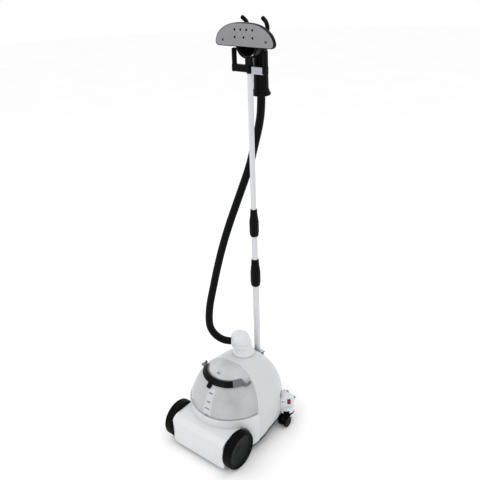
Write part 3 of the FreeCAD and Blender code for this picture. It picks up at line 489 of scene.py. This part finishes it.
world = bpy.data.worlds.new("studio")
bpy.context.scene.world = world
world.use_nodes = True
world.node_tree.nodes["Background"].inputs["Color"].default_value = linear("#FFFFFF")
world.node_tree.nodes["Background"].inputs["Strength"].default_value = 1.0
bpy.context.scene.view_settings.view_transform = "Standard"

floor_material, floor_tree, floor_place = new_material("white_studio_floor")
floor_cloud = add_node(floor_tree, "ShaderNodeTexNoise", inputs={"Scale": per_metre(400)},
                       links={"Vector": floor_place})
floor_tone = add_node(floor_tree, "ShaderNodeMix", {"data_type": "RGBA"},
                      {"A": linear("#FFFFFF"), "B": linear("#FAFAFA")},
                      {"Factor": floor_cloud.outputs["Fac"]})
floor_surface = add_node(floor_tree, "ShaderNodeBsdfDiffuse", links={"Color": floor_tone.outputs["Result"]})
add_node(floor_tree, "ShaderNodeOutputMaterial", links={"Surface": floor_surface.outputs["BSDF"]})

floor_bm = bmesh.new()
bmesh.ops.create_circle(floor_bm, cap_ends=True, radius=12.0, segments=64)
floor_mesh = bpy.data.meshes.new("floor")
floor_bm.to_mesh(floor_mesh)
floor_bm.free()
floor_mesh.materials.append(floor_material)
floor = bpy.data.objects.new("floor", floor_mesh)
bpy.context.scene.collection.objects.link(floor)

# %% [markdown]
# ## Shells, deck and chassis
# The base is a bell split down the middle, with a rounded deck in front and a black pan below. The frame
# has these shapes already, so each one is a copy with its loose triangles joined, shaded smoothly, and its
# sharp edges rounded by about half a millimetre, as a moulding's edges are.

# %% Base mouldings
BASE_SKINS = {
    "left_shell": (SHADED_SATIN_ABS, 0.5, "shell_plastic"),
    "right_shell": (SHADED_SATIN_ABS, 0.5, "shell_plastic"),
    "front_deck": (WHITE_ABS, 0.6, "white_plastic"),
    "tank_dock": (SHADED_SATIN_ABS, 0.4, "shell_plastic"),
    "chassis": (PAN_BLACK, 0.5, "black_plastic"),
    "left_pod": (WHITE_ABS, 0.5, "white_plastic"),
    "right_pod": (WHITE_ABS, 0.5, "white_plastic"),
    "pole_socket": (SHADED_SATIN_ABS, 0.5, "shell_plastic"),
    "switch_frame": (BLACK_NYLON, 0.3, "black_plastic"),
}
for node, (finish, edge_mm, slot) in BASE_SKINS.items():
    skin_of(node, finish, "base", edge_mm)
print(len(BASE_SKINS), "base mouldings")

# %% [markdown]
# ## Tank
# The tank's lower shell and dome are blown or moulded shells, round in front and flat behind. Spinning the
# bell's side profile and slicing it with the bay wall gives the exact form with an even mesh. Its foot is
# rounded by 6 mm where it drops into the skirt ring.

# %% Tank shell and dome
BELL_CENTRE = (0.0, -21.0)
BELL_SIDE = [(149.8, 157.0), (141.5, 186.0), (131.0, 210.0), (118.0, 232.0), (102.0, 252.0), (82.0, 270.0),
             (58.0, 284.0), (34.0, 292.0)]
TANK_FOOT = 157.0
TANK_RIM = 266.4
DOME_FOOT = 267.0
DOME_TOP = 291.8
FOOT_ROUND = 6.0
BAY_WALL_Y = -55.6
BAY_LEAN = 0.32


def smooth_profile(points, low, high, count):
    """Points along a Catmull-Rom curve through (radius, height) points, kept between two heights."""
    out = []
    for k in range(len(points) - 1):
        p0 = Vector(points[max(k - 1, 0)])
        p1 = Vector(points[k])
        p2 = Vector(points[k + 1])
        p3 = Vector(points[min(k + 2, len(points) - 1)])
        for step in range(count):
            t = step / count
            out.append(0.5 * (2 * p1 + (p2 - p0) * t + (2 * p0 - 5 * p1 + 4 * p2 - p3) * t ** 2
                              + (3 * p1 - p0 - 3 * p2 + p3) * t ** 3))
    out.append(Vector(points[-1]))
    return [tuple(p) for p in out if low - 0.01 <= p.y <= high + 0.01]


def bell_radius(height):
    """Radius of the bell's front arc at a height."""
    profile = smooth_profile(BELL_SIDE, 0, 400, 12)
    for (r0, z0), (r1, z1) in zip(profile, profile[1:]):
        if z0 <= height <= z1:
            return r0 + (r1 - r0) * (height - z0) / (z1 - z0)
    return profile[-1][0]


def tank_form(low, high, grow, foot_round):
    """The bell between two heights, with a rounded foot, cut off flat by the leaning wall behind it."""
    side = [(0.0, low)]
    for k in range(6):
        turn = math.radians(18.0 * k)
        z = low + foot_round * (1.0 - math.cos(turn))
        side.append((bell_radius(z) + grow - foot_round * (1.0 - math.sin(turn)), z))
    above_foot = low + foot_round + 0.5
    side += [(r + grow, z) for r, z in smooth_profile(BELL_SIDE, above_foot, high - 0.5, 8)]
    side += [(bell_radius(high) + grow, high), (0.0, high)]
    bm = turned(side, (*BELL_CENTRE, 0.0), (0, 0, 1), 128)
    wall = Vector((0.0, 1.0, -BAY_LEAN)).normalized()
    cut = bmesh.ops.bisect_plane(bm, geom=bm.verts[:] + bm.edges[:] + bm.faces[:], dist=1e-6,
                                 plane_co=Vector((0, BAY_WALL_Y, TANK_FOOT)) * MM, plane_no=wall,
                                 clear_outer=True)
    open_edges = [e for e in cut["geom_cut"] if isinstance(e, bmesh.types.BMEdge)]
    bmesh.ops.holes_fill(bm, edges=open_edges)
    bmesh.ops.recalc_face_normals(bm, faces=bm.faces)
    return bm


def soften(piece, width_mm, segments=3, angle=35.0):
    """Round a piece's sharp edges with a Bevel modifier."""
    rim = piece.modifiers.new("rounded edges", "BEVEL")
    rim.width = width_mm * MM
    rim.segments = segments
    rim.limit_method = "ANGLE"
    rim.angle_limit = math.radians(angle)
    return piece


tank = show("tank_lower_shell", tank_form(TANK_FOOT, TANK_RIM, 0.0, FOOT_ROUND), TANK_SMOKE, "tank",
            ("tank_shell",), 50.0)
soften(tank, 2.5, 4)
dome = show("tank_dome_shell", tank_form(DOME_FOOT, DOME_TOP, -0.3, 0.5), DOME_SMOKE, "tank",
            ("tank_dome",), 50.0)
soften(dome, 1.2, 3)

# %% [markdown]
# ## Water strip and level marks
# A clear strip up the front of the tank shows the water, with four short raised marks on it. Each one
# follows the tank's curve, so each is a thin band of the same bell, trimmed to an angle.

# %% Water strip and level marks


def bell_patch(low, high, middle_deg, width_mm, lift_mm, depth_mm, steps):
    """A thin raised patch on the bell, as wide as width_mm, centred on an angle round from the front."""
    heights = [low + (high - low) * k / steps for k in range(steps + 1)]
    bm = bmesh.new()
    half = 0.5 * width_mm / bell_radius(0.5 * (low + high))
    start = math.radians(middle_deg) - half
    outer = []
    for z in heights:
        r = bell_radius(z) + lift_mm
        place = Vector((r * math.sin(start), BELL_CENTRE[1] - r * math.cos(start), z))
        outer.append(bm.verts.new(place * MM))
    edges = [bm.edges.new(pair) for pair in zip(outer, outer[1:])]
    bmesh.ops.spin(bm, geom=outer + edges, cent=Vector((*BELL_CENTRE, 0)) * MM, axis=(0, 0, 1),
                   angle=2 * half, steps=max(4, int(width_mm / 2.5)), use_merge=False)
    bmesh.ops.recalc_face_normals(bm, faces=bm.faces)
    face = bm.faces[:][0]
    middle = face.calc_center_median()
    if face.normal.dot(middle - Vector((0, BELL_CENTRE[1] * MM, middle.z))) < 0:
        bmesh.ops.reverse_faces(bm, faces=bm.faces)
    bmesh.ops.solidify(bm, geom=bm.faces[:], thickness=depth_mm * MM)
    return bm


STRIP_DEG = 2.0
show("water_strip", bell_patch(163.0, 248.0, STRIP_DEG, 30.0, 0.35, 0.6, 18), STRIP_CLEAR, "tank")
MARK_HEIGHTS = [162.0, 185.0, 207.5, 234.0]
MARK_WIDTHS = [16.0, 19.0, 15.0, 15.0]
for number, (height, width) in enumerate(zip(MARK_HEIGHTS, MARK_WIDTHS)):
    show(f"level_mark_{number + 1}", bell_patch(height - 1.9, height + 1.9, STRIP_DEG, width, 0.75, 0.5, 2),
         GREY_NYLON, "tank")
show("fill_mark", bell_patch(281.5, 284.0, -3.5, 12.0, 0.5, 0.5, 2), GREY_NYLON, "tank")

# %% [markdown]
# ## Carrying band
# A band lies on the tank's shoulder and swings up to carry it. Its grey body, with an ear and a pivot at
# each end, comes from the frame. A soft black grip covers its outer face from the left end to half way
# round the right side: the faces that look outwards are copied, trimmed by an upright plane and given a
# thickness.

# %% Carrying band
GRIP_END_DEG = 44.0
GRIP_THICK_MM = 0.9
GRIP_BACK_Y = -34.0


def outer_grip(node, end_deg, thick_mm):
    """The outward faces of a frame node, up to an angle round from the front, thickened outwards."""
    bm = bmesh.new()
    bm.from_mesh(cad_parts[node].data)
    bmesh.ops.remove_doubles(bm, verts=bm.verts, dist=0.003 * MM)
    centre = Vector((*BELL_CENTRE, 0.0)) * MM
    turn = math.radians(end_deg)
    bmesh.ops.bisect_plane(bm, geom=bm.verts[:] + bm.edges[:] + bm.faces[:], dist=1e-6, plane_co=centre,
                           plane_no=(math.cos(turn), math.sin(turn), 0.0), clear_outer=True)
    away = []
    for face in bm.faces:
        ray = face.calc_center_median() - centre
        ray.z = 0.0
        if face.normal.dot(ray.normalized()) < 0.5 or ray.y > GRIP_BACK_Y * MM:
            away.append(face)
    bmesh.ops.delete(bm, geom=away, context="FACES")
    bmesh.ops.solidify(bm, geom=bm.faces[:], thickness=-thick_mm * MM)
    return bm


skin_of("tank_handle", GREY_NYLON, "tank_band", 0.6)
grip = show("band_grip", outer_grip("tank_handle", GRIP_END_DEG, GRIP_THICK_MM), BLACK_NYLON, "tank_band")
soften(grip, 0.3, 2)
print("grip faces", len(grip.data.polygons))

# %% [markdown]
# ## Wheels
# Each wheel is a rubber tyre on a dished nylon hub. Both are turned shapes, so each is one outline spun
# round the axle. The tyre's shoulders are rounded and its tread has two fine grooves. The hub has a raised
# rim, a shallow dish, fine rings, and a small cap over the axle's end.

# %% Wheels
for side, body, word in ((-1, "left_wheel", "left"), (1, "right_wheel", "right")):
    inner = (side * WHEEL_INNER_X, *WHEEL_AXLE)
    tyre_outline = [(57.2, 3.0), (57.2, 0.6), (60.0, 0.0), (63.5, 0.0), (66.9, 2.6), (68.0, 6.5),
                    (68.0, 11.4), (67.2, 12.0), (67.2, 12.8), (68.0, 13.4), (68.0, 22.6), (67.2, 23.2),
                    (67.2, 24.0),
                    (68.0, 24.6), (68.0, 30.5), (66.9, 33.6), (63.5, 36.0), (61.0, 36.0), (60.4, 35.4),
                    (59.0, 35.4), (57.2, 34.6), (57.2, 30.0)]
    tyre = turned(rounded(tyre_outline, 1.4, 3) + [(57.2, 3.0)], inner, (side, 0, 0), 120)
    show(f"{word}_tyre_form", tyre, TYRE_RUBBER, body, (f"{word}_tyre",), 50.0)
    hub_outline = [(6.2, 4.0), (15.0, 4.0), (15.0, 19.0), (48.0, 17.5), (48.0, 4.0), (56.8, 3.6),
                   (56.8, 31.5),
                   (55.6, 33.0), (52.6, 33.0), (51.6, 31.0), (49.6, 28.4), (44.0, 27.4), (43.2, 26.9),
                   (42.4, 27.2), (30.0, 25.4), (29.2, 24.8), (28.4, 25.2), (16.0, 24.4), (14.6, 25.6),
                   (12.4, 26.4), (0.0, 26.9)]
    hub = turned(rounded(hub_outline, 1.2, 3), inner, (side, 0, 0), 120)
    show(f"{word}_hub_form", hub, HUB_NYLON, body, (f"{word}_hub",), 50.0)

# %% [markdown]
# ## Casters
# Small twin casters carry the back. Their forks come from the frame. Each twin roller is turned, with a
# soft shoulder and a shallow dish in its outer face.

# %% Casters
for side, word in ((-1, "left"), (1, "right")):
    skin_of(f"{word}_caster_fork", BLACK_NYLON, f"{word}_fork", 0.4)
    roller_outline = [(0.0, 4.4), (17.0, 4.4), (19.5, 6.6), (19.5, 14.6), (18.8, 16.4), (17.0, 17.5),
                      (15.4, 17.5), (14.2, 16.2), (6.0, 15.6), (5.0, 17.2), (0.0, 17.3)]
    for facing, half in ((1, "outer"), (-1, "inner")):
        roller = turned(rounded(roller_outline, 0.8, 3), (side * CASTER_X, *CASTER_AXLE),
                        (side * facing, 0, 0), 72)
        stands_for = (f"{word}_caster_wheels",) if half == "outer" else ()
        show(f"{word}_{half}_roller", roller, CASTER_NYLON, f"{word}_rollers", stands_for,
             50.0)

# %% [markdown]
# ## Outlet elbow
# Steam leaves through a fat white elbow. It is a round column that leans towards its port, closes in a dome
# and has two slanted grip ridges. Extruding a ring upwards and moving and scaling it at each step makes the
# form.

# %% Outlet elbow
OUTLET_AXIS = Vector((0.0, 58.0, 0.0))
PORT_WAY = Vector((-math.cos(math.radians(35.0)), -math.sin(math.radians(35.0)), 0.0))
RIDGE_TILT = 15.0
ELBOW_STEPS = [(292.2, 39.2, 0), (293.4, 40.0, 0), (298.6, 39.8, 0), (300.6, 39.0, 0), (301.8, 37.0, 0),
               (303.0, 35.6, 0), (318.0, 35.0, 2), (334.0, 34.6, 5), (350.0, 34.2, 9), (360.0, 33.2, 11),
               (366.0, 31.4, 11.6), (370.6, 28.4, 12), (374.2, 23.6, 12), (376.6, 16.6, 12),
               (377.8, 7.0, 12)]


def ring_stack(steps, axis_place, way, sides):
    """A closed skin through level rings, each (height, radius, shift along way)."""
    bm = bmesh.new()
    z, r, shift = steps[0]
    start = (axis_place + way * shift + Vector((0, 0, z))) * MM
    first = bmesh.ops.create_circle(bm, radius=r * MM, segments=sides, matrix=Matrix.Translation(start))
    ring = list({edge for vert in first["verts"] for edge in vert.link_edges})
    bmesh.ops.contextual_create(bm, geom=ring)
    for (z0, r0, s0), (z1, r1, s1) in zip(steps, steps[1:]):
        grown = bmesh.ops.extrude_edge_only(bm, edges=ring)["geom"]
        verts = [item for item in grown if isinstance(item, bmesh.types.BMVert)]
        ring = [item for item in grown if isinstance(item, bmesh.types.BMEdge)]
        centre = (axis_place + way * s0 + Vector((0, 0, z0))) * MM
        bmesh.ops.scale(bm, vec=(r1 / r0, r1 / r0, 1), space=Matrix.Translation(-centre), verts=verts)
        bmesh.ops.translate(bm, vec=(way * (s1 - s0) + Vector((0, 0, z1 - z0))) * MM, verts=verts)
    bmesh.ops.contextual_create(bm, geom=ring)
    bmesh.ops.recalc_face_normals(bm, faces=bm.faces)
    return bm


elbow = ring_stack(ELBOW_STEPS, OUTLET_AXIS, PORT_WAY, 96)
show("outlet_elbow", elbow, WHITE_ABS, "base", ("outlet_cap",), 60.0)
PORT_BASE = OUTLET_AXIS + Vector((0, 0, 340.0))
port_outline = [(17.0, 20.0), (18.6, 30.0), (18.6, 38.5), (18.0, 41.6), (16.4, 43.0), (14.6, 43.0),
                (13.7, 41.8), (13.7, 31.4)]
port = turned(rounded(port_outline, 1.0, 3) + [(13.7, 30.8), (0.0, 30.8)], PORT_BASE, PORT_WAY, 64)
show("outlet_port", port, WHITE_ABS, "base")


def elbow_ridge(middle_z, tilt_deg):
    """A raised slanted rib round the elbow, as a tilted ring that sinks into it."""
    bm = turned([(31.0, -3.4), (35.8, -2.2), (37.4, 0.0), (35.8, 2.2), (31.0, 3.4)], (0, 0, 0), (0, 0, 1),
                72)
    place = OUTLET_AXIS + PORT_WAY * 5.5 + Vector((0, 0, middle_z))
    tilt = Matrix.Rotation(math.radians(tilt_deg), 4, PORT_WAY)
    bmesh.ops.transform(bm, matrix=Matrix.Translation(place * MM) @ tilt, verts=bm.verts)
    return bm


for number, middle_z in enumerate((320.0, 338.0)):
    show(f"elbow_ridge_{number + 1}", elbow_ridge(middle_z, RIDGE_TILT), WHITE_ABS, "base")

# %% [markdown]
# ## Pole and twist locks
# Three thin tubes slide inside each other. A twist lock grips each joint: a black nylon body that swells in
# the middle and narrows upwards, with raised ribs for the fingers. The body is turned, and its ribs are
# thin rods laid round it.

# %% Pole tubes
for tube, body in (("lower_tube", "base"), ("middle_tube", "middle"), ("upper_tube", "upper")):
    skin_of(tube, POLE_PAINT, body, 0.3)


LOCK_RIBS = 14


def lock_bm(z0, z1, tube_r, upper_r):
    """A twist lock's turned body with a ring of finger ribs on its grip."""
    tall = z1 - z0
    b = tube_r + 1.2
    outline = [(tube_r + 0.1, z0), (b + 1.0, z0), (b + 3.0, z0 + 2.4), (b + 3.9, z0 + 8.0),
               (b + 4.3, z0 + 0.25 * tall), (b + 4.1, z0 + 0.5 * tall), (b + 3.6, z0 + 0.64 * tall),
               (b + 2.6, z0 + 0.70 * tall), (b + 1.9, z0 + 0.73 * tall), (b + 1.3, z0 + 0.80 * tall),
               (b + 0.6, z0 + 0.9 * tall), (b + 0.1, z1 - 3.0), (b - 0.6, z1), (upper_r + 0.35, z1)]
    bm = turned(rounded(outline, 1.5, 3), (0, POLE_Y, 0), (0, 0, 1), 64)
    first_rib = Vector((0, POLE_Y - b - 3.6, z0 + 0.36 * tall)) * MM
    rib = bmesh.ops.create_cone(bm, cap_ends=True, segments=8, radius1=1.3 * MM, radius2=1.1 * MM,
                                depth=0.44 * tall * MM, matrix=Matrix.Translation(first_rib))
    ribs = rib["verts"]
    for k in range(1, LOCK_RIBS):
        copy = bmesh.ops.duplicate(bm, geom=list({f for v in ribs for f in v.link_faces}))
        verts = [item for item in copy["geom"] if isinstance(item, bmesh.types.BMVert)]
        bmesh.ops.rotate(bm, verts=verts, cent=Vector((0, POLE_Y, 0)) * MM,
                         matrix=Matrix.Rotation(2 * math.pi * k / LOCK_RIBS, 3, "Z"))
    return bm


show("low_twist_lock", lock_bm(535.0, 642.0, 12.0, 10.4), BLACK_NYLON, "low_lock", ("lower_lock",),
     50.0)
show("high_twist_lock", lock_bm(732.0, 833.0, 10.4, 8.9), BLACK_NYLON, "high_lock", ("upper_lock",),
     50.0)

# %% [markdown]
# ## Cradle, grip and steam head
# The bracket on top of the pole holds the head in a half-round cradle between two horns. The head itself is
# a thin arched body with a blasted aluminium plate in front and a bent hollow grip behind it, in two
# halves.

# %% Bracket, grip and head
UPPER_SKINS = {
    "pole_bracket": (BLACK_NYLON, "upper", 0.5, "black_plastic"),
    "bracket_sleeve": (PALE_NYLON, "upper", 0.4, "grey_plastic"),
    "handle_left": (BLACK_NYLON, "head", 0.4, "black_plastic"),
    "handle_right": (BLACK_NYLON, "head", 0.4, "black_plastic"),
    "head_body": (BLACK_NYLON, "head", 0.6, "black_plastic"),
    "steam_plate": (PLATE_METAL, "head", 0.5, "plate_metal"),
}
for node, (finish, body, edge_mm, slot) in UPPER_SKINS.items():
    skin_of(node, finish, body, edge_mm)

collar_outline = [(14.0, 1207.0), (28.5, 1207.0), (30.6, 1209.0), (31.0, 1212.5), (30.0, 1216.0),
                  (27.4, 1220.0), (26.4, 1221.0), (25.8, 1223.0), (25.6, 1225.0), (24.0, 1228.6),
                  (15.0, 1228.6)]
show("grip_collar", turned(rounded(collar_outline, 0.9, 3), (0, GRIP_Y, 0), (0, 0, 1), 72), BLACK_NYLON,
     "head", ("hose_collar",), 50.0)

# %% [markdown]
# ## Small parts and inner parts
# Everything that is left keeps the frame's own shape and gets the right finish: steel for screws, springs
# and the axle, rubber for seals, cast aluminium for the boiler.

# %% Finishes of the remaining parts
PLAIN_FINISHES = {
    BRIGHT_STEEL: ["axle_clips", "chassis_screws", "front_axle", "heating_element", "pedal_spring",
                   "thermostat", "valve_spring"],
    SCREW_STEEL: ["plate_screws"],
    CAST_METAL: ["boiler", "boiler_lid", "steam_pipe"],
    SEAL_RUBBER: ["cord_gland", "dock_seal", "feed_pipe", "head_steam_tube", "outlet_gasket",
                  "plate_gasket"],
    BLACK_NYLON: ["tank_cap", "tank_latch", "terminal_block"],
    GREY_NYLON: ["foot_pedal", "pole_lever", "valve_stem"],
    SWITCH_RED: ["power_rocker"],
    LENS_DARK: ["indicator_lens"],
}
for finish, nodes in PLAIN_FINISHES.items():
    for node in nodes:
        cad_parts[node].data.materials.clear()
        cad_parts[node].data.materials.append(finish)
